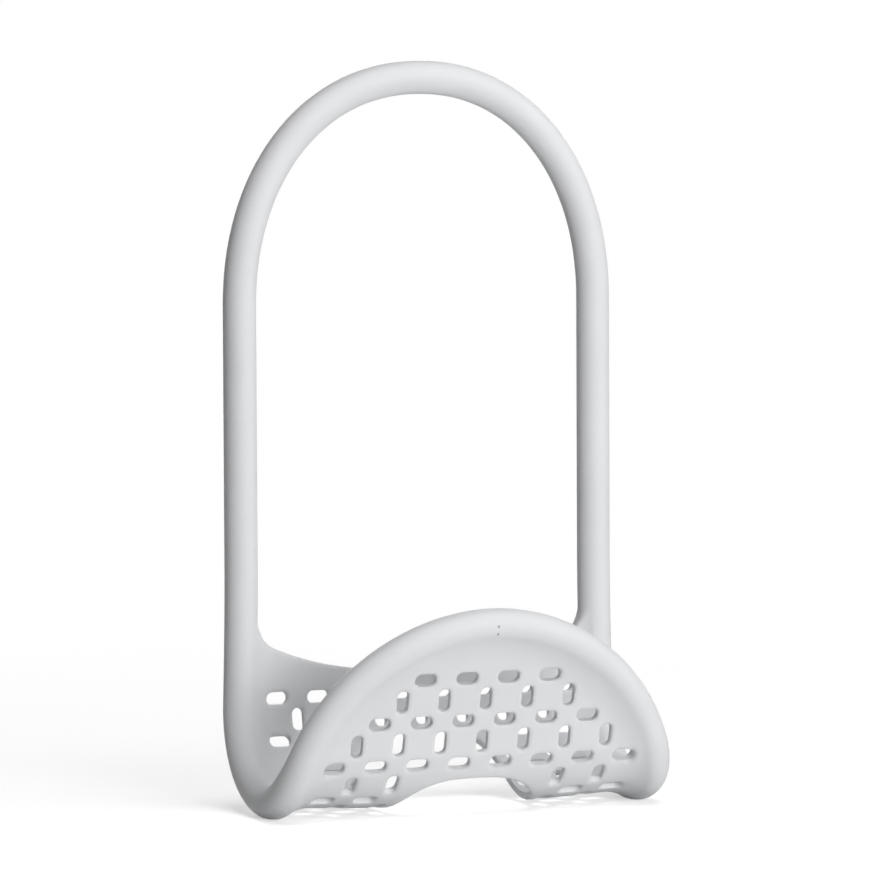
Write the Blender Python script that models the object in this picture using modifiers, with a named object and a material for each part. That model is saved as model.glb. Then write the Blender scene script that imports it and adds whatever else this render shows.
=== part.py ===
# Faucet organizer rack: a soft sling with a slotted web, moulded round a ring of bendable wire.
# Everything is first drawn flat, in X across the rack and S along its side profile, and then folded:
# S is positive up the front panel, zero at the bottom of the fold, and negative up the back and the legs.
import math

import bmesh
import bpy
from mathutils import Vector

# Side profile of the folded sling, along the middle of the rim
FRONT_FOLD_RADIUS = 0.0256
BACK_FOLD_RADIUS = 0.0319
FRONT_LEAN = math.radians(13.8)
BACK_LEAN = math.radians(0.4)

# Rim: half widths, where its two arches start, how far they rise, and how square they are, 1 for an ellipse
RIM_RADIUS = 0.0060
FRONT_HALF_WIDTH = 0.0710
FRONT_SPRING = 0.0095
FRONT_RISE = 0.0703
FRONT_SQUARE_SHARE = 0.975
LEG_INSET = 0.00195
LOOP_SPRING = 0.1926
LOOP_RISE = 0.0815
LOOP_SQUARE_SHARE = 1.06
LEG_EASE = 0.100
FOOT_DEPTH = 0.0005

# Web: the perforated skin inside the rim
WEB_THICKNESS = 0.0030
WEB_SAG = 0.0029
SAG_REACH = 0.0200
WEB_FILLET = 0.0200
FILLET_SINK = 0.0001
LIP_HEIGHT = 0.0600
LIP_DROP = 0.0160
LIP_CURVE_SHARE = 2.6

# Slots in a basket weave: across and along in turn, half a pitch apart
SLOT_PITCH = 0.0160
SLOT_LENGTH = 0.0082
SLOT_WIDTH = 0.0044
SLOT_CORNER = 0.0020
SLOT_TOP_MARGIN = 0.0193
SLOT_RIM_MARGIN = 0.0010
SLOT_HOLE_MARGIN = 0.0018
SLOT_LIP_MARGIN = 0.0045

# Drain hole in the bottom of the fold
DRAIN_HALF_WIDTH = 0.0275
DRAIN_HALF_LENGTH = 0.0295
DRAIN_CENTRE = -0.0075
DRAIN_SQUARE_SHARE = 1.45

# Wire ring, its bore in the moulding, and the ferrule that joins its two ends
WIRE_RADIUS = 0.0015
WIRE_CLEARANCE = 0.0003
FERRULE_WALL = 0.0007
FERRULE_LENGTH = 0.0160
WIRE_END_GAP = 0.0010
PIN_MARK_RADIUS = 0.0005
PIN_MARK_DEPTH = 0.0010
PIN_MARK_SPACING = 0.0029

# Where the rack is bent by hand
FOLD_BAND_START = 0.00945
FOLD_BAND_END = 0.0315
FIRST_BEND = 0.1420
BEND_SPACING = 0.0260
BEND_LENGTH = 0.0180
SPLIT_GAP = 0.0003

# Fineness of the curves, and how far a cutter runs past what it cuts
LEG_STEP = 0.0200
FOLD_STEP = 0.0065
OVERRUN = 0.0050
MERGE_DISTANCE = 0.000002
RIM_RESOLUTION = 4
BORE_RESOLUTION = 2
ARCH_STEPS = 30
DRAIN_STEPS = 24
CORNER_STEPS = 2
FILLET_STEPS = 2
PIN_MARK_SIDES = 8
FERRULE_STEPS = 6
SHARP_ANGLE = math.radians(35)

SIDES = {"left": -1, "right": 1}
BENDS = ("lower", "middle", "upper")
LOOP_HALF_WIDTH = FRONT_HALF_WIDTH - LEG_INSET
REACH = max(FRONT_HALF_WIDTH, LOOP_HALF_WIDTH) + RIM_RADIUS + OVERRUN
BORE_RADIUS = WIRE_RADIUS + WIRE_CLEARANCE
FERRULE_RADIUS = BORE_RADIUS + FERRULE_WALL
FRONT_APEX = FRONT_SPRING + FRONT_RISE
LOOP_APEX = LOOP_SPRING + LOOP_RISE
FRONT_BEND = FRONT_FOLD_RADIUS * (math.pi / 2 - FRONT_LEAN)
BACK_BEND = BACK_FOLD_RADIUS * (math.pi / 2 - BACK_LEAN)


def clear_scene():
    for obj in list(bpy.data.objects):
        bpy.data.objects.remove(obj, do_unlink=True)


def new_collection(name):
    collection = bpy.data.collections.new(name)
    bpy.context.scene.collection.children.link(collection)
    return collection


def new_material(name, colour, roughness, metallic):
    material = bpy.data.materials.new(name)
    material.use_nodes = True
    shader = material.node_tree.nodes["Principled BSDF"]
    shader.inputs["Base Color"].default_value = (*colour, 1)
    shader.inputs["Roughness"].default_value = roughness
    shader.inputs["Metallic"].default_value = metallic
    material.diffuse_color = (*colour, 1)
    return material


# Side profile

def profile_point(s):
    # Place and outward direction, in Y and Z, of the rim's middle line at S
    forward = s >= 0
    radius = FRONT_FOLD_RADIUS if forward else BACK_FOLD_RADIUS
    lean = FRONT_LEAN if forward else BACK_LEAN
    bend = FRONT_BEND if forward else BACK_BEND
    side = -1 if forward else 1
    angle = min(abs(s), bend) / radius
    straight = max(abs(s) - bend, 0)
    y = side * (radius * math.sin(angle) + straight * math.sin(lean))
    z = radius * (1 - math.cos(angle)) + straight * math.cos(lean)
    return y, z, side * math.sin(angle), -math.cos(angle)


def frame_shift():
    # Puts the feet on the ground and the middle of the rack's depth on the origin
    depth_middle = (profile_point(FRONT_APEX)[0] + profile_point(-LOOP_APEX)[0]) / 2
    return Vector((0, -depth_middle, RIM_RADIUS - FOOT_DEPTH))


def web_sag(x, s):
    across = max(1 - (x / FRONT_HALF_WIDTH) ** 2, 0)
    return WEB_SAG * across * math.exp(-((s / SAG_REACH) ** 2))


def folded(flat):
    y, z, out_y, out_z = profile_point(flat.y)
    out = flat.z + web_sag(flat.x, flat.y)
    return Vector((flat.x, y + out * out_y, z + out * out_z)) + frame_shift()


# Rim path in the flat, right half; the left half mirrors it

def arch(half_width, rise, square_share, angle):
    x = half_width * abs(math.cos(angle)) ** (1 / square_share)
    return math.copysign(x, math.cos(angle)), rise * math.sin(angle) ** (1 / square_share)


def arch_width(half_width, share, square_share):
    power = 2 * square_share
    return half_width * (1 - min(share, 1) ** power) ** (1 / power)


def rim_half_width(s):
    if s > FRONT_SPRING:
        return arch_width(FRONT_HALF_WIDTH, (s - FRONT_SPRING) / FRONT_RISE, FRONT_SQUARE_SHARE)
    if s < -LOOP_SPRING:
        return arch_width(LOOP_HALF_WIDTH, (-s - LOOP_SPRING) / LOOP_RISE, LOOP_SQUARE_SHARE)
    share = min((FRONT_SPRING - s) / (FRONT_SPRING + LEG_EASE), 1)
    ease = share * share * (3 - 2 * share)
    return FRONT_HALF_WIDTH + (LOOP_HALF_WIDTH - FRONT_HALF_WIDTH) * ease


def leg_points(side, start, end):
    count = max(1, math.ceil(abs(end - start) / LEG_STEP))
    levels = [start + (end - start) * i / count for i in range(count + 1)]
    return [Vector((side * rim_half_width(s), s, 0)) for s in levels]


def front_arch_points(start, end, steps):
    angles = [start + (end - start) * i / steps for i in range(steps + 1)]
    spots = [arch(FRONT_HALF_WIDTH, FRONT_RISE, FRONT_SQUARE_SHARE, angle) for angle in angles]
    return [Vector((x, FRONT_SPRING + rise, 0)) for x, rise in spots]


def loop_arch_points():
    angles = [math.pi * i / ARCH_STEPS for i in range(ARCH_STEPS + 1)]
    spots = [arch(LOOP_HALF_WIDTH, LOOP_RISE, LOOP_SQUARE_SHARE, angle) for angle in angles]
    return [Vector((x, -LOOP_SPRING - rise, 0)) for x, rise in spots]


def handle_points(start):
    # Up the right leg from a level of S, over the loop, and down the left leg
    right = leg_points(1, start, -LOOP_SPRING)
    left = leg_points(-1, -LOOP_SPRING, start)
    return [*right[:-1], *loop_arch_points(), *left[1:]]


def wire_points():
    # The whole ring, from one end of the wire at the front apex round to the other
    gap = math.asin(WIRE_END_GAP / 2 / FRONT_HALF_WIDTH)
    right = front_arch_points(math.pi / 2 - gap, 0, ARCH_STEPS // 2)
    left = front_arch_points(math.pi, math.pi / 2 + gap, ARCH_STEPS // 2)
    return [*right[:-1], *handle_points(FRONT_SPRING), *left[1:]]


def extended(points, length):
    # The same path, run on straight past both its ends
    first = points[0] + (points[0] - points[1]).normalized() * length
    last = points[-1] + (points[-1] - points[-2]).normalized() * length
    return [first, *points, last]


# Solids drawn in the flat

def object_from(mesh, name, collection):
    obj = bpy.data.objects.new(name, mesh)
    collection.objects.link(obj)
    return obj


def evaluated_mesh(obj):
    bpy.context.view_layer.update()
    graph = bpy.context.evaluated_depsgraph_get()
    return bpy.data.meshes.new_from_object(obj.evaluated_get(graph))


def weld(mesh):
    shape = bmesh.new()
    shape.from_mesh(mesh)
    bmesh.ops.remove_doubles(shape, verts=shape.verts, dist=MERGE_DISTANCE)
    bmesh.ops.recalc_face_normals(shape, faces=shape.faces)
    shape.to_mesh(mesh)
    shape.free()
    return mesh


def baked(obj):
    # The object's evaluated shape as a plain welded mesh; the object itself goes
    mesh = weld(evaluated_mesh(obj))
    bpy.data.objects.remove(obj, do_unlink=True)
    return mesh


def add_spline(curve, points, cyclic):
    spline = curve.splines.new("POLY")
    spline.points.add(len(points) - 1)
    for spot, point in zip(spline.points, points):
        spot.co = point.to_4d()
    spline.use_cyclic_u = cyclic


def tube_mesh(points, radius, resolution, caps=True):
    curve = bpy.data.curves.new("tube", "CURVE")
    curve.dimensions = "3D"
    curve.twist_mode = "Z_UP"
    curve.bevel_depth = radius
    curve.bevel_resolution = resolution
    curve.use_fill_caps = caps
    add_spline(curve, points, cyclic=False)
    return baked(object_from(curve, "tube", bpy.context.scene.collection))


def hollow_tube_mesh(points, radius, bore, resolution):
    shell = object_from(tube_mesh(points, radius, resolution, caps=False), "sleeve",
                        bpy.context.scene.collection)
    wall = shell.modifiers.new("wall", "SOLIDIFY")
    wall.thickness = radius - bore
    wall.offset = -1
    wall.use_even_offset = False
    return baked(shell)


def plate_mesh(outlines, thickness):
    curve = bpy.data.curves.new("plate", "CURVE")
    curve.dimensions = "2D"
    curve.fill_mode = "BOTH"
    curve.extrude = thickness / 2
    for outline in outlines:
        add_spline(curve, outline, cyclic=True)
    return baked(object_from(curve, "plate", bpy.context.scene.collection))


def sweep_mesh(points, section):
    # A closed section carried along a flat path: its first measure points inward, its second up
    scratch = bpy.context.scene.collection
    outline = bpy.data.curves.new("section", "CURVE")
    outline.dimensions = "2D"
    add_spline(outline, [Vector((-inward, up, 0)) for inward, up in section], cyclic=True)
    profile = object_from(outline, "section", scratch)
    curve = bpy.data.curves.new("sweep", "CURVE")
    curve.dimensions = "3D"
    curve.twist_mode = "Z_UP"
    curve.bevel_mode = "OBJECT"
    curve.bevel_object = profile
    curve.use_fill_caps = True
    add_spline(curve, points, cyclic=False)
    mesh = baked(object_from(curve, "sweep", scratch))
    bpy.data.objects.remove(profile, do_unlink=True)
    return mesh


def box_mesh(low, high):
    shape = bmesh.new()
    bmesh.ops.create_cube(shape, size=1)
    size = high - low
    bmesh.ops.scale(shape, vec=size, verts=shape.verts)
    bmesh.ops.translate(shape, vec=(low + high) / 2, verts=shape.verts)
    mesh = bpy.data.meshes.new("box")
    shape.to_mesh(mesh)
    shape.free()
    return mesh


def combined(mesh, other, operation):
    scratch = bpy.context.scene.collection
    target = object_from(mesh, "target", scratch)
    tool = object_from(other, "tool", scratch)
    boolean = target.modifiers.new(operation.lower(), "BOOLEAN")
    boolean.operation = operation
    boolean.solver = "EXACT"
    boolean.object = tool
    result = evaluated_mesh(target)
    bpy.data.objects.remove(target, do_unlink=True)
    bpy.data.objects.remove(tool, do_unlink=True)
    return weld(result)


def kept(mesh, low, high, side=0):
    # The stretch of a flat solid between two levels of S, on one side of the middle or on both
    height = RIM_RADIUS + OVERRUN
    left = 0 if side > 0 else -REACH
    right = 0 if side < 0 else REACH
    slab = box_mesh(Vector((left, low, -height)), Vector((right, high, height)))
    return combined(mesh.copy(), slab, "INTERSECT")


# Outlines of the web

def superellipse(half_x, half_y, square_share, steps):
    spots = []
    for i in range(steps):
        angle = 2 * math.pi * i / steps
        c, s = math.cos(angle), math.sin(angle)
        x = math.copysign(abs(c) ** (1 / square_share), c)
        y = math.copysign(abs(s) ** (1 / square_share), s)
        spots.append(Vector((half_x * x, half_y * y, 0)))
    return spots


def drain_outline():
    centre = Vector((0, DRAIN_CENTRE, 0))
    return [centre + spot for spot in
            superellipse(DRAIN_HALF_WIDTH, DRAIN_HALF_LENGTH, DRAIN_SQUARE_SHARE, DRAIN_STEPS)]


def slot_outline(x, s, across):
    half_x, half_s = SLOT_LENGTH / 2, SLOT_WIDTH / 2
    if not across:
        half_x, half_s = half_s, half_x
    spots = []
    for quarter, (side_x, side_s) in enumerate(((1, 1), (-1, 1), (-1, -1), (1, -1))):
        corner = Vector((x + side_x * (half_x - SLOT_CORNER), s + side_s * (half_s - SLOT_CORNER), 0))
        for i in range(CORNER_STEPS + 1):
            angle = math.pi / 2 * (quarter + i / CORNER_STEPS)
            spots.append(corner + SLOT_CORNER * Vector((math.cos(angle), math.sin(angle), 0)))
    return spots


def lip_level(x):
    # The back edge of the web: a low arch that climbs towards the two legs
    share = min(abs(x) / LOOP_HALF_WIDTH, 1)
    return -LIP_HEIGHT - LIP_DROP * share ** LIP_CURVE_SHARE


def fits_in_web(outline):
    for spot in outline:
        x, s = abs(spot.x), spot.y
        if x > rim_half_width(s) - RIM_RADIUS - SLOT_RIM_MARGIN:
            return False
        if s < lip_level(x) + SLOT_LIP_MARGIN:
            return False
        reach_x = x / (DRAIN_HALF_WIDTH + SLOT_HOLE_MARGIN)
        reach_s = abs(s - DRAIN_CENTRE) / (DRAIN_HALF_LENGTH + SLOT_HOLE_MARGIN)
        power = 2 * DRAIN_SQUARE_SHARE
        if reach_x ** power + reach_s ** power < 1:
            return False
    return True


def slot_outlines():
    rows = int((FRONT_APEX + LIP_HEIGHT) / (SLOT_PITCH / 2))
    columns = int(FRONT_HALF_WIDTH / SLOT_PITCH) + 1
    outlines = []
    for row in range(rows):
        across = row % 2 == 0
        s = FRONT_APEX - SLOT_TOP_MARGIN - row * SLOT_PITCH / 2
        for column in range(-columns, columns + 1):
            x = (2 * column + (1 if across else 0)) * SLOT_PITCH / 2
            outline = slot_outline(x, s, across)
            if fits_in_web(outline):
                outlines.append(outline)
    return outlines


def lip_outline():
    # The space above the web's back edge, between the legs
    steps = ARCH_STEPS // 2
    across = [LOOP_HALF_WIDTH * (i / steps - 1) for i in range(2 * steps + 1)]
    lip = [Vector((x, lip_level(x), 0)) for x in across]
    top = lip_level(LOOP_HALF_WIDTH) - OVERRUN
    return [*lip, Vector((LOOP_HALF_WIDTH, top, 0)), Vector((-LOOP_HALF_WIDTH, top, 0))]


def fillet_profile(side):
    # Section of the filled corner between the rim and one face of the web, in distance inward and height
    web = WEB_THICKNESS / 2 - FILLET_SINK
    centre_up = web + WEB_FILLET
    centre_in = math.sqrt((RIM_RADIUS + WEB_FILLET) ** 2 - centre_up ** 2)
    rim_angle = math.atan2(centre_up, centre_in)
    spots = [(0, 0)]
    for i in range(FILLET_STEPS + 1):
        angle = rim_angle + (math.pi / 2 - rim_angle) * i / FILLET_STEPS
        spots.append((centre_in - WEB_FILLET * math.cos(angle), centre_up - WEB_FILLET * math.sin(angle)))
    spots.append((centre_in, 0))
    return [(inward, side * up) for inward, up in spots]


# The cradle: rim, web, slots, drain hole and bore in one flat solid

def cradle_rim_points(end):
    right = leg_points(1, end, FRONT_SPRING)
    left = leg_points(-1, FRONT_SPRING, end)
    return [*right, *front_arch_points(0, math.pi, ARCH_STEPS)[1:-1], *left]


def cradle_flat(leg_end):
    web_edge = cradle_rim_points(lip_level(LOOP_HALF_WIDTH))
    web = plate_mesh([web_edge], WEB_THICKNESS)
    for side in (1, -1):
        web = combined(web, sweep_mesh(web_edge, fillet_profile(side)), "UNION")
    cuts = plate_mesh([*slot_outlines(), drain_outline(), lip_outline()], 2 * (RIM_RADIUS + OVERRUN))
    web = combined(web, cuts, "DIFFERENCE")
    rim_points = cradle_rim_points(leg_end)
    solid = combined(web, tube_mesh(rim_points, RIM_RADIUS, RIM_RESOLUTION), "UNION")
    bore = tube_mesh(extended(rim_points, OVERRUN), BORE_RADIUS, BORE_RESOLUTION)
    solid = combined(solid, bore, "DIFFERENCE")
    room = tube_mesh(extended(apex_points(FERRULE_LENGTH), WIRE_CLEARANCE),
                     FERRULE_RADIUS + WIRE_CLEARANCE, BORE_RESOLUTION)
    return combined(solid, room, "DIFFERENCE")


def apex_points(length):
    # A short stretch of the rim path, centred on the front apex
    reach = math.asin(length / 2 / FRONT_HALF_WIDTH)
    return front_arch_points(math.pi / 2 - reach, math.pi / 2 + reach, FERRULE_STEPS)


def pin_marks():
    # Two small blind holes that the moulding pins leave in the front of the rim
    shape = bmesh.new()
    for place in (-1, 1):
        made = bmesh.ops.create_cone(shape, cap_ends=True, segments=PIN_MARK_SIDES, radius1=PIN_MARK_RADIUS,
                                     radius2=PIN_MARK_RADIUS, depth=2 * PIN_MARK_DEPTH)
        level = FRONT_APEX + place * PIN_MARK_SPACING / 2
        bmesh.ops.translate(shape, vec=(0, level, RIM_RADIUS), verts=made["verts"])
    mesh = bpy.data.meshes.new("pin_marks")
    shape.to_mesh(mesh)
    shape.free()
    return mesh


# Folding

def fold(mesh):
    # Slices the flat solid finely enough to bend it, and bends it to the side profile
    shape = bmesh.new()
    shape.from_mesh(mesh)
    span = FRONT_BEND + BACK_BEND
    count = math.ceil(span / FOLD_STEP)
    for i in range(count + 1):
        level = Vector((0, span * i / count - BACK_BEND, 0))
        parts = [*shape.verts, *shape.edges, *shape.faces]
        bmesh.ops.bisect_plane(shape, geom=parts, plane_co=level, plane_no=Vector((0, 1, 0)),
                               dist=MERGE_DISTANCE)
    bmesh.ops.triangulate(shape, faces=shape.faces)
    for vert in shape.verts:
        vert.co = folded(vert.co)
    bmesh.ops.remove_doubles(shape, verts=shape.verts, dist=MERGE_DISTANCE)
    bmesh.ops.dissolve_degenerate(shape, dist=MERGE_DISTANCE, edges=shape.edges)
    shape.to_mesh(mesh)
    shape.free()
    return mesh


def foot_cutter():
    # Everything below the ground, which leaves a small flat under each side of the rim
    return box_mesh(Vector((-REACH, -REACH, -OVERRUN)), Vector((REACH, REACH, 0)))


# Assembly

def pivot(name, s, parent, collection):
    # An empty on a bending line, which everything above that line hangs from
    empty = bpy.data.objects.new(name, None)
    collection.objects.link(empty)
    place = folded(Vector((LOOP_HALF_WIDTH, s, 0)))
    place.x = 0
    empty["place"] = place
    empty.location = place - (Vector(parent["place"]) if parent else Vector())
    empty.parent = parent
    return empty


def add_part(mesh, name, material, parent, collection):
    place = Vector(parent["place"])
    for vert in mesh.vertices:
        vert.co -= place
    mesh.shade_smooth()
    mesh.set_sharp_from_angle(angle=SHARP_ANGLE)
    mesh.materials.clear()
    mesh.materials.append(material)
    obj = object_from(mesh, name, collection)
    obj.parent = parent
    return obj


def inner(low, high):
    return low + SPLIT_GAP / 2, high - SPLIT_GAP / 2


def leg_stretches():
    # Levels of S of each bending place and of the stiff stretch above it, going up the legs
    stretches = {}
    for i, place in enumerate(BENDS):
        centre = FIRST_BEND + i * BEND_SPACING
        top = centre + BEND_LENGTH / 2
        stretches[f"flex_{place}"] = inner(-top, BEND_LENGTH / 2 - centre)
        if i + 1 < len(BENDS):
            stretches[f"link_{place}"] = inner(BEND_LENGTH / 2 - centre - BEND_SPACING, -top)
    return stretches


def add_cradle(collection, material, base, front):
    start = BEND_LENGTH / 2 - FIRST_BEND + SPLIT_GAP / 2
    flat = cradle_flat(start)
    reach = FRONT_APEX + RIM_RADIUS + OVERRUN
    back = fold(kept(flat, -LOOP_APEX, FOLD_BAND_START - SPLIT_GAP / 2))
    back = combined(back, foot_cutter(), "DIFFERENCE")
    add_part(back, "cradle_back", material, base, collection)
    band = kept(flat, *inner(FOLD_BAND_START, FOLD_BAND_END))
    add_part(fold(band), "cradle_fold", material, base, collection)
    panel = combined(kept(flat, FOLD_BAND_END + SPLIT_GAP / 2, reach), pin_marks(), "DIFFERENCE")
    add_part(fold(panel), "cradle_front", material, front, collection)


def add_cradle_wire(wire, collection, material, base, front):
    start = BEND_LENGTH / 2 - FIRST_BEND + SPLIT_GAP / 2
    stretches = {
        "core_back": (start, FOLD_BAND_START - SPLIT_GAP / 2),
        "core_fold": inner(FOLD_BAND_START, FOLD_BAND_END),
        "core_front": (FOLD_BAND_END + SPLIT_GAP / 2, FRONT_APEX + OVERRUN),
    }
    for name, (low, high) in stretches.items():
        parent = front if name == "core_front" else base
        for word, side in SIDES.items():
            mesh = fold(kept(wire, low, high, side))
            add_part(mesh, f"{name}_{word}", material, parent, collection)


def add_handle(wire, collection, materials, base):
    # Three bending places up the legs, with a short stiff link between each two, and the loop on top
    sleeve = hollow_tube_mesh(handle_points(-LIP_HEIGHT), RIM_RADIUS, BORE_RADIUS, RIM_RESOLUTION)
    parent = base
    for name, (low, high) in leg_stretches().items():
        for word, side in SIDES.items():
            mould = fold(kept(sleeve, low, high, side))
            add_part(mould, f"{name}_{word}", materials["moulding"], parent, collection)
            core = fold(kept(wire, low, high, side))
            add_part(core, f"core_{name}_{word}", materials["wire"], parent, collection)
        if name.startswith("flex"):
            parent = pivot(name.replace("flex", "bend"), (low + high) / 2, parent, collection)
    start = FIRST_BEND + (len(BENDS) - 1) * BEND_SPACING + BEND_LENGTH / 2 + SPLIT_GAP / 2
    reach = LOOP_APEX + RIM_RADIUS + OVERRUN
    add_part(fold(kept(sleeve, -reach, -start)), "loop_arch", materials["moulding"], parent, collection)
    add_part(fold(kept(wire, -reach, -start)), "core_loop", materials["wire"], parent, collection)


def build():
    clear_scene()
    parts = new_collection("faucet_organizer_rack")
    materials = {
        "moulding": new_material("soft_moulding", (0.79, 0.80, 0.82), 0.62, 0),
        "wire": new_material("core_wire", (0.55, 0.56, 0.58), 0.35, 1),
        "ferrule": new_material("crimp_ferrule", (0.72, 0.73, 0.75), 0.30, 1),
    }
    base = bpy.data.objects.new("rack_frame", None)
    base["place"] = Vector()
    parts.objects.link(base)
    front = pivot("front_panel_flex", (FOLD_BAND_START + FOLD_BAND_END) / 2, base, parts)
    wire = tube_mesh(wire_points(), WIRE_RADIUS, BORE_RESOLUTION)
    add_cradle(parts, materials["moulding"], base, front)
    add_cradle_wire(wire, parts, materials["wire"], base, front)
    sleeve = hollow_tube_mesh(apex_points(FERRULE_LENGTH), FERRULE_RADIUS, BORE_RADIUS, BORE_RESOLUTION)
    add_part(fold(sleeve), "core_ferrule", materials["ferrule"], front, parts)
    add_handle(wire, parts, materials, base)
    bpy.context.view_layer.update()


build()
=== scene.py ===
import math

import bmesh
import bpy
import numpy as np
from mathutils import Matrix, Vector


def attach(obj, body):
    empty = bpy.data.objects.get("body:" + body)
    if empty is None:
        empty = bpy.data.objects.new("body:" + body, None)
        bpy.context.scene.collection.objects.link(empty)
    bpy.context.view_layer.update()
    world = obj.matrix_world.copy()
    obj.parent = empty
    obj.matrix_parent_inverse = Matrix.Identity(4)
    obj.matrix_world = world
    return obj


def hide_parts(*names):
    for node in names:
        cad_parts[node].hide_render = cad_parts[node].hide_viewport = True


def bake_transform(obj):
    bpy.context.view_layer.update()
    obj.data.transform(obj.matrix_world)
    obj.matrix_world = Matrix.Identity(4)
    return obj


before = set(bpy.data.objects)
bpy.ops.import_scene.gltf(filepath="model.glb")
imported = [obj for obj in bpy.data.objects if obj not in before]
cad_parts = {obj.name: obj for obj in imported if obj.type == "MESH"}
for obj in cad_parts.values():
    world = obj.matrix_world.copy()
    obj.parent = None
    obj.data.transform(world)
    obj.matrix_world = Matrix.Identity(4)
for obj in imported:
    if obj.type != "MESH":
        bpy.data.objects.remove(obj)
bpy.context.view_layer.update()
print("frame loaded:", len(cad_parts), "nodes")


# Side profile of the sling. Everything is drawn flat, in x across, s along the profile and n outwards,
# and then folded: s is zero at the bottom of the fold, positive up the front, negative up the back.

fold = dict(frontRadius=0.0256, backRadius=0.0319, frontLean=math.radians(13.8), backLean=math.radians(0.4),
            sag=0.0029, sagReach=0.020, depthShift=0.00115, lift=0.0055)

rim = dict(radius=0.0060, frontWidth=0.0710, frontSpring=0.0095, frontRise=0.0703, frontSquare=1.95,
           loopWidth=0.06905, loopSpring=0.1926, loopRise=0.0815, loopSquare=2.12, legEase=0.100)

frontApex = rim["frontSpring"] + rim["frontRise"]

spacing = dict(archSteps=240, leg=0.002, cradle=0.0012, handle=0.0013)  # of the points along the rim


def foldPoints(flat):  # rows of x, s, n to rows of x, y, z
    x, s, n = flat.T
    ahead = s >= 0
    radius = np.where(ahead, fold["frontRadius"], fold["backRadius"])
    lean = np.where(ahead, fold["frontLean"], fold["backLean"])
    side = np.where(ahead, -1.0, 1.0)
    bend = radius * (math.pi / 2 - lean)
    angle = np.minimum(np.abs(s), bend) / radius
    straight = np.maximum(np.abs(s) - bend, 0)
    across = np.maximum(1 - (x / rim["frontWidth"]) ** 2, 0)
    out = n + fold["sag"] * across * np.exp(-((s / fold["sagReach"]) ** 2))
    y = side * (radius * np.sin(angle) + straight * np.sin(lean) + out * np.sin(angle))
    z = radius * (1 - np.cos(angle)) + straight * np.cos(lean) - out * np.cos(angle)
    return np.stack([x, y + fold["depthShift"], z + fold["lift"]], axis=1)


def halfWidth(s):  # of the rim's middle line at each s
    front = np.clip((s - rim["frontSpring"]) / rim["frontRise"], 0, 1)
    loop = np.clip((-s - rim["loopSpring"]) / rim["loopRise"], 0, 1)
    share = np.clip((rim["frontSpring"] - s) / (rim["frontSpring"] + rim["legEase"]), 0, 1)
    leg = rim["frontWidth"] + (rim["loopWidth"] - rim["frontWidth"]) * share * share * (3 - 2 * share)
    frontArch = rim["frontWidth"] * (1 - front ** rim["frontSquare"]) ** (1 / rim["frontSquare"])
    loopArch = rim["loopWidth"] * (1 - loop ** rim["loopSquare"]) ** (1 / rim["loopSquare"])
    return np.where(s > rim["frontSpring"], frontArch, np.where(s < -rim["loopSpring"], loopArch, leg))


def archPoints(width, rise, square):  # a quarter of an arch, from its foot to its top
    angle = np.linspace(0, math.pi / 2, spacing["archSteps"] + 1)
    across, up = np.abs(np.cos(angle)) ** (2 / square), np.sin(angle) ** (2 / square)
    return np.stack([width * across, rise * up], axis=1)


def legPoints(start, end):  # up or down the right leg
    s = np.linspace(start, end, int(abs(end - start) / spacing["leg"]) + 2)
    return np.stack([halfWidth(s), s], axis=1)


def evenPoints(points, step):  # the same line with its points an even step apart
    run = np.concatenate([[0], np.cumsum(np.linalg.norm(np.diff(points, axis=0), axis=1))])
    places = np.linspace(0, run[-1], int(run[-1] / step) + 2)
    return np.stack([np.interp(places, run, points[:, 0]), np.interp(places, run, points[:, 1])], axis=1)


def mirrored(half):  # the right half of a line, then the left half back
    left = half[::-1][1:] * [-1, 1]
    return np.concatenate([half, left])


def cradleHalf(start):  # right leg from a level up to the front apex
    arch = archPoints(rim["frontWidth"], rim["frontRise"], rim["frontSquare"]) + [0, rim["frontSpring"]]
    leg = legPoints(start, rim["frontSpring"])
    return evenPoints(np.concatenate([leg[:-1], arch]), spacing["cradle"])


def handleHalf(start):  # right leg from a level up to the top of the loop
    arch = archPoints(rim["loopWidth"], rim["loopRise"], rim["loopSquare"]) * [1, -1] - [0, rim["loopSpring"]]
    leg = legPoints(start, -rim["loopSpring"])
    return evenPoints(np.concatenate([leg[:-1], arch]), spacing["handle"])


# Shared mesh helpers

closeness = dict(weld=0.00001, cut=0.000001, sharpAngle=50)


def addObject(name, data):
    data.name = name
    thing = bpy.data.objects.new(name, data)
    bpy.context.scene.collection.objects.link(thing)
    return thing


def bakedMesh(thing):  # what the object shows, as a plain mesh; the object itself goes
    bpy.context.view_layer.update()
    mesh = bpy.data.meshes.new_from_object(thing.evaluated_get(bpy.context.evaluated_depsgraph_get()))
    bpy.data.objects.remove(thing, do_unlink=True)
    return mesh


def newMesh(name, shape):  # from a bmesh, which is freed
    mesh = bpy.data.meshes.new(name)
    shape.to_mesh(mesh)
    shape.free()
    return mesh


def pointsOf(mesh):
    flat = np.zeros(len(mesh.vertices) * 3)
    mesh.vertices.foreach_get("co", flat)
    return flat.reshape(-1, 3)


def setPoints(mesh, points):
    mesh.vertices.foreach_set("co", np.ascontiguousarray(points, dtype=np.float32).ravel())
    mesh.update()


def flatTube(line, radius, sides):  # a round tube along a flat line of x, s
    curve = bpy.data.curves.new("tube", "CURVE")
    curve.dimensions = "3D"
    curve.twist_mode = "Z_UP"
    curve.bevel_depth = radius
    curve.bevel_resolution = sides // 2 - 2  # each step adds two sides to a square
    curve.use_fill_caps = True
    spline = curve.splines.new("POLY")
    spline.points.add(len(line) - 1)
    for spot, place in zip(spline.points, line):
        spot.co = (place[0], place[1], 0, 1)
    return welded(bakedMesh(addObject("tube", curve)))


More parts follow.
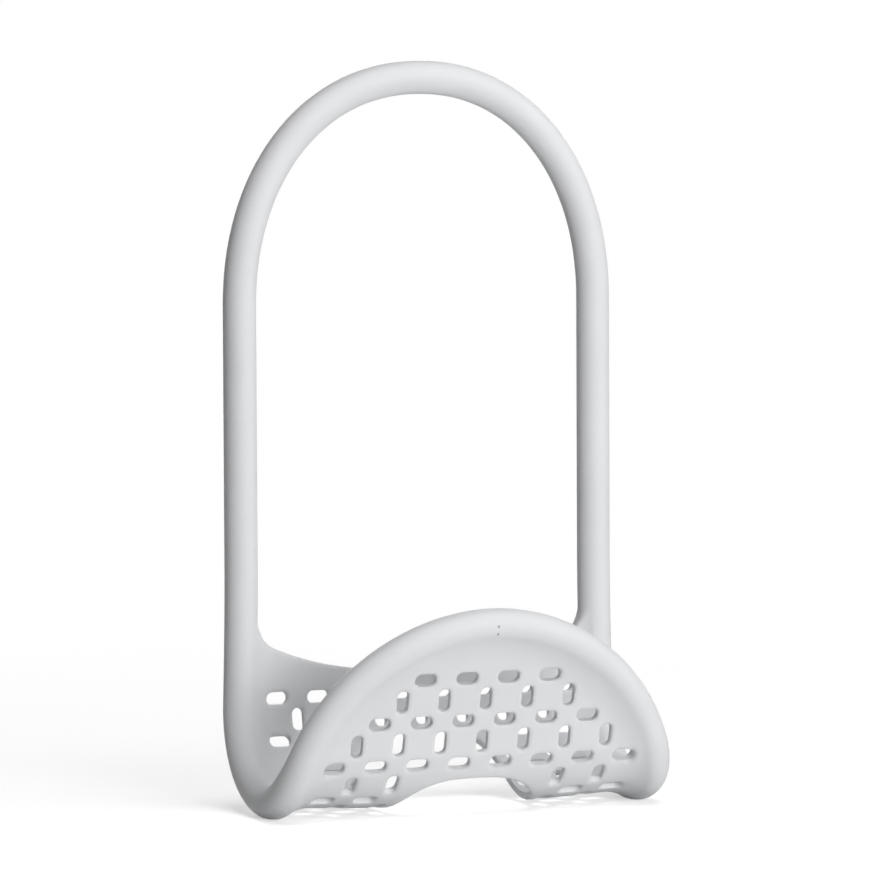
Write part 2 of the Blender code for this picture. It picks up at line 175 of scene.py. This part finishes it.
def welded(mesh):
    shape = bmesh.new()
    shape.from_mesh(mesh)
    bmesh.ops.remove_doubles(shape, verts=shape.verts, dist=closeness["weld"])
    bmesh.ops.recalc_face_normals(shape, faces=shape.faces)
    shape.to_mesh(mesh)
    shape.free()
    return mesh


def cutBetween(mesh, low, high):  # keeps the stretch between two levels of s and closes its ends
    shape = bmesh.new()
    shape.from_mesh(mesh)
    for level, way in ((low, -1), (high, 1)):
        if level is None:
            continue
        parts = [*shape.verts, *shape.edges, *shape.faces]
        cut = bmesh.ops.bisect_plane(shape, geom=parts, dist=closeness["cut"], plane_co=(0, level, 0),
                                     plane_no=(0, way, 0), clear_outer=True)
        edges = [part for part in cut["geom_cut"] if isinstance(part, bmesh.types.BMEdge)]
        bmesh.ops.holes_fill(shape, edges=edges, sides=0)
    return newMesh("stretch", shape)


def finishMesh(mesh):  # folds a flat mesh and shades it smooth, with crisp cut ends
    points = foldPoints(pointsOf(mesh))
    points[:, 2] = np.maximum(points[:, 2], 0)  # the small flats that it stands on
    setPoints(mesh, points)
    shape = bmesh.new()
    shape.from_mesh(mesh)
    bmesh.ops.recalc_face_normals(shape, faces=shape.faces)
    shape.to_mesh(mesh)
    shape.free()
    mesh.shade_smooth()
    mesh.set_sharp_from_angle(angle=math.radians(closeness["sharpAngle"]))
    return mesh


# Materials: a socket wrapped so that shader maths reads as plain expressions

class Socket:
    def __init__(self, tree, socket):
        self.tree, self.socket = tree, socket

    def maths(self, operation, first, second):
        return node(self.tree, "ShaderNodeMath", dict(operation=operation), {0: first, 1: second})

    def __add__(self, other):
        return self.maths("ADD", self, other)

    def __radd__(self, other):
        return self.maths("ADD", other, self)

    def __sub__(self, other):
        return self.maths("SUBTRACT", self, other)

    def __rsub__(self, other):
        return self.maths("SUBTRACT", other, self)

    def __mul__(self, other):
        return self.maths("MULTIPLY", self, other)

    def __rmul__(self, other):
        return self.maths("MULTIPLY", other, self)

    def larger(self, other):
        return self.maths("MAXIMUM", self, other)


def node(tree, kind, settings, values, output=0):
    made = tree.nodes.new(kind)
    for name, value in settings.items():
        if name == "stops":
            for stop, (place, colour) in zip(made.color_ramp.elements, value):
                stop.position, stop.color = place, (*colour, 1)
        else:
            setattr(made, name, value)
    for name, value in values.items():
        if isinstance(value, Socket):
            tree.links.new(value.socket, made.inputs[name])
        else:
            made.inputs[name].default_value = value
    return Socket(tree, made.outputs[output])


def newMaterial(name):
    material = bpy.data.materials.new(name)
    material.use_nodes = True
    tree = material.node_tree
    return material, tree, tree.nodes["Principled BSDF"]


def plug(tree, shader, name, wire):
    tree.links.new(wire.socket, shader.inputs[name])


def noise(tree, place, scale, detail):
    return node(tree, "ShaderNodeTexNoise", {}, {"Vector": place, "Scale": scale, "Detail": detail})


def ramp(tree, factor, dark, light, stops):
    colours = dict(stops=((stops[0], dark), (stops[1], light)))
    return node(tree, "ShaderNodeValToRGB", colours, {"Fac": factor})


silicone = dict(light=(0.80, 0.807, 0.82), dull=(0.765, 0.772, 0.785), stops=(0.30, 0.70), roughness=0.50,
                specular=0.12)

cloudy = dict(scale=28, detail=4.0, share=0.8, roughness=0.10, height=0.00010, strength=0.5)

grainy = dict(scale=1400, detail=2.0, share=0.2, roughness=0.06, height=0.00002, strength=0.6)


def siliconeMaterial():  # soft-touch moulding: matte, with a very fine grain and faint cloudy patches
    material, tree, shader = newMaterial("softMoulding")
    place = node(tree, "ShaderNodeTexCoord", {}, {}, output="Object")
    cloud = noise(tree, place, cloudy["scale"], cloudy["detail"])
    grain = noise(tree, place, grainy["scale"], grainy["detail"])
    mottle = cloud * cloudy["share"] + grain * grainy["share"]
    colour = ramp(tree, mottle, silicone["dull"], silicone["light"], silicone["stops"])
    plug(tree, shader, "Base Color", colour)
    plug(tree, shader, "Roughness",
         silicone["roughness"] + cloud * cloudy["roughness"] + grain * grainy["roughness"])
    wave = node(tree, "ShaderNodeBump", {}, {"Height": cloud, "Strength": cloudy["strength"],
                                             "Distance": cloudy["height"]})
    bump = node(tree, "ShaderNodeBump", {}, {"Height": grain, "Strength": grainy["strength"],
                                             "Distance": grainy["height"], "Normal": wave})
    plug(tree, shader, "Normal", bump)
    shader.inputs["Specular IOR Level"].default_value = silicone["specular"]
    return material


steel = dict(wire=(0.55, 0.56, 0.58), wireRoughness=0.28, ferrule=(0.72, 0.73, 0.75), ferruleRoughness=0.24,
             darkShare=0.8, stops=(0.3, 0.7), streakScale=900, streakDetail=3.0, streakRoughness=0.15)


def steelMaterial(name, colour, roughness):  # drawn wire and its crimped sleeve, both inside the moulding
    material, tree, shader = newMaterial(name)
    place = node(tree, "ShaderNodeTexCoord", {}, {}, output="Object")
    streak = noise(tree, place, steel["streakScale"], steel["streakDetail"])
    dark = tuple(channel * steel["darkShare"] for channel in colour)
    plug(tree, shader, "Base Color", ramp(tree, streak, dark, colour, steel["stops"]))
    plug(tree, shader, "Roughness", roughness + streak * steel["streakRoughness"])
    shader.inputs["Metallic"].default_value = 1
    return material


moulding = siliconeMaterial()
wireSteel = steelMaterial("coreWire", steel["wire"], steel["wireRoughness"])
ferruleSteel = steelMaterial("crimpFerrule", steel["ferrule"], steel["ferruleRoughness"])
print("materials ready")


# The cradle: one moulding from the legs through the fold to the front rim

web = dict(thickness=0.0030, fillet=0.0200, lipHeight=0.0600, lipDrop=0.0160, lipPower=2.6, lipFillet=0.0060,
           edgeRadius=0.0007, legEnd=-0.110)

melt = dict(voxel=0.0008, lipSteps=80, lipOverlap=0.001, tubeSides=32, tubeSpare=0.006)

fitting = dict(smoothTurns=3, smoothing=0.5, lastTurns=5, probe=0.00005, leastSlope=0.25, furthest=0.0015,
               lineSpare=0.012)

slots = dict(pitch=0.0160, length=0.0082, width=0.0044, corner=0.0020, cornerSteps=6, topMargin=0.0193,
             rimMargin=0.0010, holeMargin=0.0018, lipMargin=0.0045)

drain = dict(halfWidth=0.0275, halfLength=0.0295, centre=-0.0075, power=2.9, steps=96)

pins = dict(radius=0.0005, depth=0.0020, spread=0.00145, sides=24)

tiny = 1e-9  # keeps a division by zero away


def lipLevel(x):  # the web's back edge climbs towards the legs
    share = np.minimum(np.abs(x) / rim["loopWidth"], 1)
    return -web["lipHeight"] - web["lipDrop"] * share ** web["lipPower"]


def slotSize(across):
    return (slots["length"], slots["width"]) if across else (slots["width"], slots["length"])


def slotOutline(x, s, across):
    halfX, halfS = (size / 2 for size in slotSize(across))
    corner, steps = slots["corner"], slots["cornerSteps"]
    spots = []
    for quarter, (sideX, sideS) in enumerate(((1, 1), (-1, 1), (-1, -1), (1, -1))):
        for i in range(steps + 1):
            angle = math.pi / 2 * (quarter + i / steps)
            spots.append((x + sideX * (halfX - corner) + corner * math.cos(angle),
                          s + sideS * (halfS - corner) + corner * math.sin(angle)))
    return np.array(spots)


def fitsInWeb(outline):  # clear of the rim, of the back edge and of the drain hole
    x, s = np.abs(outline[:, 0]), outline[:, 1]
    if np.any(x > halfWidth(s) - rim["radius"] - slots["rimMargin"]):
        return False
    if np.any(s < lipLevel(x) + slots["lipMargin"]):
        return False
    reachX = x / (drain["halfWidth"] + slots["holeMargin"])
    reachS = np.abs(s - drain["centre"]) / (drain["halfLength"] + slots["holeMargin"])
    return not np.any(reachX ** drain["power"] + reachS ** drain["power"] < 1)


def slotPlaces():  # a basket weave: slots across and along in turn, half a pitch apart
    rows = int((frontApex + web["lipHeight"]) / (slots["pitch"] / 2))
    columns = int(rim["frontWidth"] / slots["pitch"]) + 1
    places = []
    for row in range(rows):
        across = row % 2 == 0
        s = frontApex - slots["topMargin"] - row * slots["pitch"] / 2
        for column in range(-columns, columns + 1):
            x = (column + (0.5 if across else 0)) * slots["pitch"]
            if fitsInWeb(slotOutline(x, s, across)):
                places.append((x, s, across))
    return places


def drainOutline():
    angle = np.linspace(0, 2 * math.pi, drain["steps"], endpoint=False)
    c, s = np.cos(angle), np.sin(angle)
    power = 2 / drain["power"]
    return np.stack([drain["halfWidth"] * np.copysign(np.abs(c) ** power, c),
                     drain["centre"] + drain["halfLength"] * np.copysign(np.abs(s) ** power, s)], axis=1)


def roughCradle(places):  # tube and pierced web as overlapping shells, melted into one skin
    shape = bmesh.new()
    half = cradleHalf(lipLevel(rim["loopWidth"]) + melt["lipOverlap"])
    lip = np.stack([np.linspace(-rim["loopWidth"], rim["loopWidth"], melt["lipSteps"])] * 2, axis=1)
    lip[:, 1] = lipLevel(lip[:, 0])
    outlines = [np.concatenate([mirrored(half), lip[1:-1]]), drainOutline()]
    outlines += [slotOutline(*place) for place in places]
    edges = []
    for outline in outlines:
        verts = [shape.verts.new((x, s, -web["thickness"] / 2)) for x, s in outline]
        edges += [shape.edges.new((a, b)) for a, b in zip(verts, verts[1:] + verts[:1])]
    filled = bmesh.ops.triangle_fill(shape, use_beauty=True, use_dissolve=False, edges=edges)
    faces = [part for part in filled["geom"] if isinstance(part, bmesh.types.BMFace)]
    raised = bmesh.ops.extrude_face_region(shape, geom=faces, use_keep_orig=True)
    tops = [part for part in raised["geom"] if isinstance(part, bmesh.types.BMVert)]
    bmesh.ops.translate(shape, vec=(0, 0, web["thickness"]), verts=tops)
    bmesh.ops.recalc_face_normals(shape, faces=shape.faces)
    line = mirrored(cradleHalf(web["legEnd"] - melt["tubeSpare"]))
    shape.from_mesh(flatTube(line, rim["radius"], melt["tubeSides"]))
    rough = addObject("roughCradle", newMesh("roughCradle", shape))
    remesh = rough.modifiers.new("melt", "REMESH")
    remesh.mode = "VOXEL"
    remesh.voxel_size = melt["voxel"]
    return bakedMesh(rough)


def rimReach(x, s, line):  # how far inside the rim's middle line each place is, negative outside
    nearest = np.full(len(x), 1.0)  # squared, and a metre to begin with
    for start, end in zip(line[:-1], line[1:]):
        run = end - start
        share = np.clip(((x - start[0]) * run[0] + (s - start[1]) * run[1]) / (run @ run), 0, 1)
        away = (x - start[0] - share * run[0]) ** 2 + (s - start[1] - share * run[1]) ** 2
        np.minimum(nearest, away, out=nearest)
    inside = (x < halfWidth(s)) & (s < frontApex)
    return np.where(inside, 1.0, -1.0) * np.sqrt(nearest)


def slotReach(x, s, places):  # distance to the nearest slot, negative inside it
    nearest = np.full(len(x), 1.0)
    corner = slots["corner"]
    for slotX, slotS, across in places:
        sizeX, sizeS = slotSize(across)
        close = (np.abs(x - slotX) < slots["pitch"]) & (np.abs(s - slotS) < slots["pitch"])
        pastX = np.abs(x[close] - slotX) - sizeX / 2 + corner
        pastS = np.abs(s[close] - slotS) - sizeS / 2 + corner
        outside = np.hypot(np.maximum(pastX, 0), np.maximum(pastS, 0))
        away = outside + np.minimum(np.maximum(pastX, pastS), 0) - corner
        nearest[close] = np.minimum(nearest[close], away)
    return nearest


def drainReach(x, s):  # distance to the drain hole's edge, negative inside it
    power = drain["power"]
    shareX = np.abs(x) / drain["halfWidth"] + tiny
    shareS = np.abs(s - drain["centre"]) / drain["halfLength"] + tiny
    size = (shareX ** power + shareS ** power) ** (1 / power)
    slopeX = (shareX / size) ** (power - 1) / drain["halfWidth"]
    slopeS = (shareS / size) ** (power - 1) / drain["halfLength"]
    return (size - 1) / np.hypot(slopeX, slopeS)


def roundUnion(a, b, radius):  # distance to either shape, with a hollow curve between the two
    return np.maximum(radius, np.minimum(a, b)) - np.hypot(np.maximum(radius - a, 0),
                                                           np.maximum(radius - b, 0))


def roundOverlap(a, b, radius):  # distance to what the shapes share, with a rounded edge
    return np.minimum(-radius, np.maximum(a, b)) + np.hypot(np.maximum(radius + a, 0),
                                                            np.maximum(radius + b, 0))


def lipReach(x, s):  # distance past the web's back edge
    share = (x / rim["loopWidth"]) ** (web["lipPower"] - 1)
    slope = web["lipDrop"] * web["lipPower"] / rim["loopWidth"] * share
    return (lipLevel(x) - s) / np.hypot(1, slope)


def skinDistance(points, reachLine, places):  # signed distance to the finished skin in the flat
    x, s, n = np.abs(points[:, 0]), points[:, 1], np.abs(points[:, 2])
    reach = rimReach(x, s, reachLine)
    tube = np.hypot(reach, n) - rim["radius"]
    plate = n - web["thickness"] / 2
    centreUp = web["thickness"] / 2 + web["fillet"]  # of the hollow curve between rim and web
    centreIn = math.sqrt((rim["radius"] + web["fillet"]) ** 2 - centreUp ** 2)
    fromX, fromN = reach - centreIn, n - centreUp
    angle = np.arctan2(fromN, fromX)
    inCurve = (angle >= math.atan2(-centreUp, -centreIn)) & (angle <= -math.pi / 2) & (reach > 0)
    sheet = np.where(inCurve, web["fillet"] - np.hypot(fromX, fromN), plate)
    sheet = np.where(reach > 0, sheet, np.maximum(plate, -reach))
    lip = roundUnion(lipReach(x, s), tube, web["lipFillet"])  # the lip runs out along the leg in a curve
    openings = -np.minimum(slotReach(points[:, 0], s, places), drainReach(x, s))
    rounded = roundOverlap(sheet, np.maximum(lip, openings), web["edgeRadius"])
    return np.minimum(tube, rounded)


def fitToSkin(points, reachLine, places):  # slides every point along the slope onto the finished skin
    probe = fitting["probe"]
    here = skinDistance(points, reachLine, places)
    slope = np.stack([(skinDistance(points + np.eye(3)[axis] * probe, reachLine, places) - here) / probe
                      for axis in range(3)], axis=1)
    size = np.maximum((slope ** 2).sum(axis=1), fitting["leastSlope"])
    move = -(here / size)[:, None] * slope
    length = np.linalg.norm(move, axis=1)
    return points + move * np.minimum(1, fitting["furthest"] / np.maximum(length, tiny))[:, None]


def smoothed(mesh):
    shape = bmesh.new()
    shape.from_mesh(mesh)
    bmesh.ops.smooth_vert(shape, verts=shape.verts, factor=fitting["smoothing"],
                          use_axis_x=True, use_axis_y=True, use_axis_z=True)
    shape.to_mesh(mesh)
    shape.free()
    return pointsOf(mesh)


def pinMarks():  # two small blind holes that the moulding pins leave in the front of the rim
    shape = bmesh.new()
    for side in (-1, 1):
        made = bmesh.ops.create_cone(shape, cap_ends=True, segments=pins["sides"], radius1=pins["radius"],
                                     radius2=pins["radius"], depth=pins["depth"])
        bmesh.ops.translate(shape, vec=(0, frontApex + side * pins["spread"], rim["radius"]),
                            verts=made["verts"])
    return newMesh("pinMarks", shape)


def makeCradle():
    places = slotPlaces()
    mesh = roughCradle(places)
    line = cradleHalf(web["legEnd"] - fitting["lineSpare"])
    points = pointsOf(mesh)
    print("cradle skin:", len(points), "points,", len(places), "slots")
    for turn in range(fitting["smoothTurns"]):
        setPoints(mesh, fitToSkin(points, line, places))
        points = smoothed(mesh)
    for turn in range(fitting["lastTurns"]):
        points = fitToSkin(points, line, places)
    setPoints(mesh, points)
    marked = addObject("marked", cutBetween(mesh, web["legEnd"], None))
    marks = addObject("marks", pinMarks())
    boolean = marked.modifiers.new("marks", "BOOLEAN")
    boolean.operation, boolean.solver, boolean.object = "DIFFERENCE", "EXACT", marks
    mesh = bakedMesh(marked)
    bpy.data.objects.remove(marks, do_unlink=True)
    return addObject("cradleSkin", finishMesh(mesh))


cradleSkin = makeCradle()
cradleSkin.data.materials.clear()
cradleSkin.data.materials.append(moulding)
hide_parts("cradle_back", "cradle_fold", "cradle_front")
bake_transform(cradleSkin)
print("cradle made")


# The handle: one tube, cut where it is stiff into a stretch for each bend and one for the loop.
# All levels are along the profile, s.

handle = dict(start=-0.100, cuts=(-0.110, -0.155, -0.181, -0.207), sides=48, depth=0.034, bend=0.009)

coreWire = dict(radius=0.0015, sides=20, cuts=(-0.1332, -0.155, -0.181, -0.2029), foldStart=-0.010,
                foldCuts=(0.0096, 0.0314))

bends = (dict(place="lower", below="cradle", above="lower_link", middle=-0.142, stiff=("link_lower",)),
         dict(place="middle", below="lower_link", above="upper_link", middle=-0.168, stiff=("link_middle",)),
         dict(place="upper", below="upper_link", above="loop", middle=-0.194, stiff=()))


def dress(name, mesh, material, replaced):
    piece = addObject(name, finishMesh(mesh))
    piece.data.materials.clear()
    piece.data.materials.append(material)
    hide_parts(*replaced)
    return piece


def bothSides(*names):
    return [f"{name}_{side}" for name in names for side in ("left", "right")]


def makeBend(place, below, above, middle, stiff, skinMesh, wireMesh):
    skin = dress(f"{place}BendSkin", skinMesh, moulding, bothSides(f"flex_{place}", *stiff))
    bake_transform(skin)
    wire = dress(f"{place}BendWire", wireMesh, wireSteel,
                 bothSides(f"core_flex_{place}", *(f"core_{name}" for name in stiff)))
    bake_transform(wire)


handleLine = mirrored(handleHalf(handle["start"]))
sleeve = flatTube(handleLine, rim["radius"], handle["sides"])
core = flatTube(handleLine, coreWire["radius"], coreWire["sides"])
for i, bend in enumerate(bends):
    makeBend(**bend, skinMesh=cutBetween(sleeve, handle["cuts"][i + 1], handle["cuts"][i]),
             wireMesh=cutBetween(core, coreWire["cuts"][i + 1], coreWire["cuts"][i]))
loopSkin = dress("loopSkin", cutBetween(sleeve, None, handle["cuts"][-1]), moulding,
                 ["loop_arch"])
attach(loopSkin, "loop")

foldCore = flatTube(mirrored(cradleHalf(coreWire["foldStart"])), coreWire["radius"], coreWire["sides"])
foldWire = dress("foldWire", cutBetween(foldCore, *coreWire["foldCuts"]), wireSteel,
                 bothSides("core_fold"))
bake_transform(foldWire)
print("handle and wires made")

for name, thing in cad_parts.items():  # the rest of the wire and its ferrule show as the solids they are
    if thing.hide_render:
        continue
    thing.data.materials.clear()
    thing.data.materials.append(ferruleSteel if name == "core_ferrule" else wireSteel)


# Studio: pale floor, soft light from the right, above and behind, and the photograph's viewpoint

studio = dict(floorSize=14, floorShade=0.95, floorBounce=0.74, floorGlow=0.47, floorRoughness=0.9,
              fadeStart=0.15, fadeEnd=0.6, worldLight=0.02, lampAim=(0, 0, 0.1))

lamps = (dict(name="keyLamp", turn=80, height=10, distance=1.8, size=1.2, strength=0.13),
         dict(name="frontLamp", turn=30, height=5, distance=1.8, size=1.2, strength=0.81),
         dict(name="topLamp", turn=30, height=76, distance=1.6, size=1.2, strength=0.48),
         dict(name="backLamp", turn=185, height=6, distance=1.8, size=1.2, strength=0.46))

camera = dict(turn=22.5656, rise=4.6920, roll=-0.1026, distance=2.8524, aside=0.004836, drop=-0.126706,
              lens=324.54, sensor=36, origin=(0, 0.00115, 0.0055), clipStart=0.1, clipEnd=100)


def directRays(tree):  # 1 for the camera's rays, mirrored ones and those seen through something, else 0
    kinds = ("Is Camera Ray", "Is Glossy Ray", "Is Transmission Ray")
    seen, shine, through = [node(tree, "ShaderNodeLightPath", {}, {}, output=kind) for kind in kinds]
    return seen.larger(shine).larger(through)


def makeFloor():  # it keeps the rack's shadow, and fades to an even white glow away from it
    shape = bmesh.new()
    bmesh.ops.create_grid(shape, x_segments=1, y_segments=1, size=studio["floorSize"])
    floor = addObject("studioFloor", newMesh("floor", shape))
    material, tree, shader = newMaterial("paleFloor")
    place = node(tree, "ShaderNodeTexCoord", {}, {}, output="Object")
    away = node(tree, "ShaderNodeVectorMath", dict(operation="LENGTH"), {0: place}, output="Value")
    far = node(tree, "ShaderNodeMapRange", {}, {"Value": away, "From Min": studio["fadeStart"],
                                                "From Max": studio["fadeEnd"]})
    direct = directRays(tree)
    shade = direct * ((1 - far) * studio["floorShade"] - studio["floorBounce"]) + studio["floorBounce"]
    plug(tree, shader, "Base Color", shade)
    shader.inputs["Roughness"].default_value = studio["floorRoughness"]
    shader.inputs["Specular IOR Level"].default_value = 0
    white = direct * (far * (1 - studio["floorGlow"]) + studio["floorGlow"])
    glow = node(tree, "ShaderNodeEmission", {}, {"Color": (1, 1, 1, 1), "Strength": white})
    both = node(tree, "ShaderNodeAddShader", {}, {0: Socket(tree, shader.outputs[0]), 1: glow})
    under = node(tree, "ShaderNodeNewGeometry", {}, {}, output="Backfacing")
    clear = node(tree, "ShaderNodeBsdfTransparent", {}, {})
    seen = node(tree, "ShaderNodeMixShader", {}, {0: under, 1: both, 2: clear})  # clear from below
    plug(tree, tree.nodes["Material Output"], "Surface", seen)
    floor.data.materials.append(material)


def makeWorld():
    world = bpy.data.worlds.new("studioWorld")
    bpy.context.scene.world = world
    world.use_nodes = True
    tree = world.node_tree
    background = tree.nodes["Background"]
    background.inputs["Color"].default_value = (1, 1, 1, 1)
    plug(tree, background, "Strength", directRays(tree) * (1 - studio["worldLight"]) + studio["worldLight"])


def viewDirection(turn, rise):  # from the rack towards a camera or lamp, both angles in radians
    return Vector((-math.sin(turn) * math.cos(rise), -math.cos(turn) * math.cos(rise), math.sin(rise)))


def addLamp(name, turn, height, distance, size, strength):  # turn is counted from the camera, to the right
    away = viewDirection(math.radians(camera["turn"] - turn), math.radians(height))
    data = bpy.data.lights.new(name, "AREA")
    data.shape, data.size = "DISK", size
    data.energy = strength * (math.pi * distance) ** 2  # 1 fully lights a white face that looks at it
    lamp = addObject(name, data)
    lamp.location = Vector(studio["lampAim"]) + away * distance
    lamp.rotation_euler = away.to_track_quat("Z", "Y").to_euler()
    lamp.visible_camera = False


def makeCamera():
    turn, rise, roll = (math.radians(camera[name]) for name in ("turn", "rise", "roll"))
    level = Vector((math.cos(turn), -math.sin(turn), 0))
    back = viewDirection(turn, rise)
    upright = back.cross(level)
    right = level * math.cos(roll) + upright * math.sin(roll)
    up = upright * math.cos(roll) - level * math.sin(roll)
    data = bpy.data.cameras.new("photoCamera")
    data.sensor_width, data.lens = camera["sensor"], camera["lens"]
    data.clip_start, data.clip_end = camera["clipStart"], camera["clipEnd"]
    thing = addObject("photoCamera", data)
    turned = Matrix((right, up, back)).transposed().to_4x4()
    place = Vector(camera["origin"]) - right * camera["aside"] - up * camera["drop"]
    thing.matrix_world = Matrix.Translation(place + back * camera["distance"]) @ turned
    bpy.context.scene.camera = thing


makeFloor()
makeWorld()
for lamp in lamps:
    addLamp(**lamp)
makeCamera()
bpy.context.scene.view_settings.view_transform = "Standard"
print("studio ready")
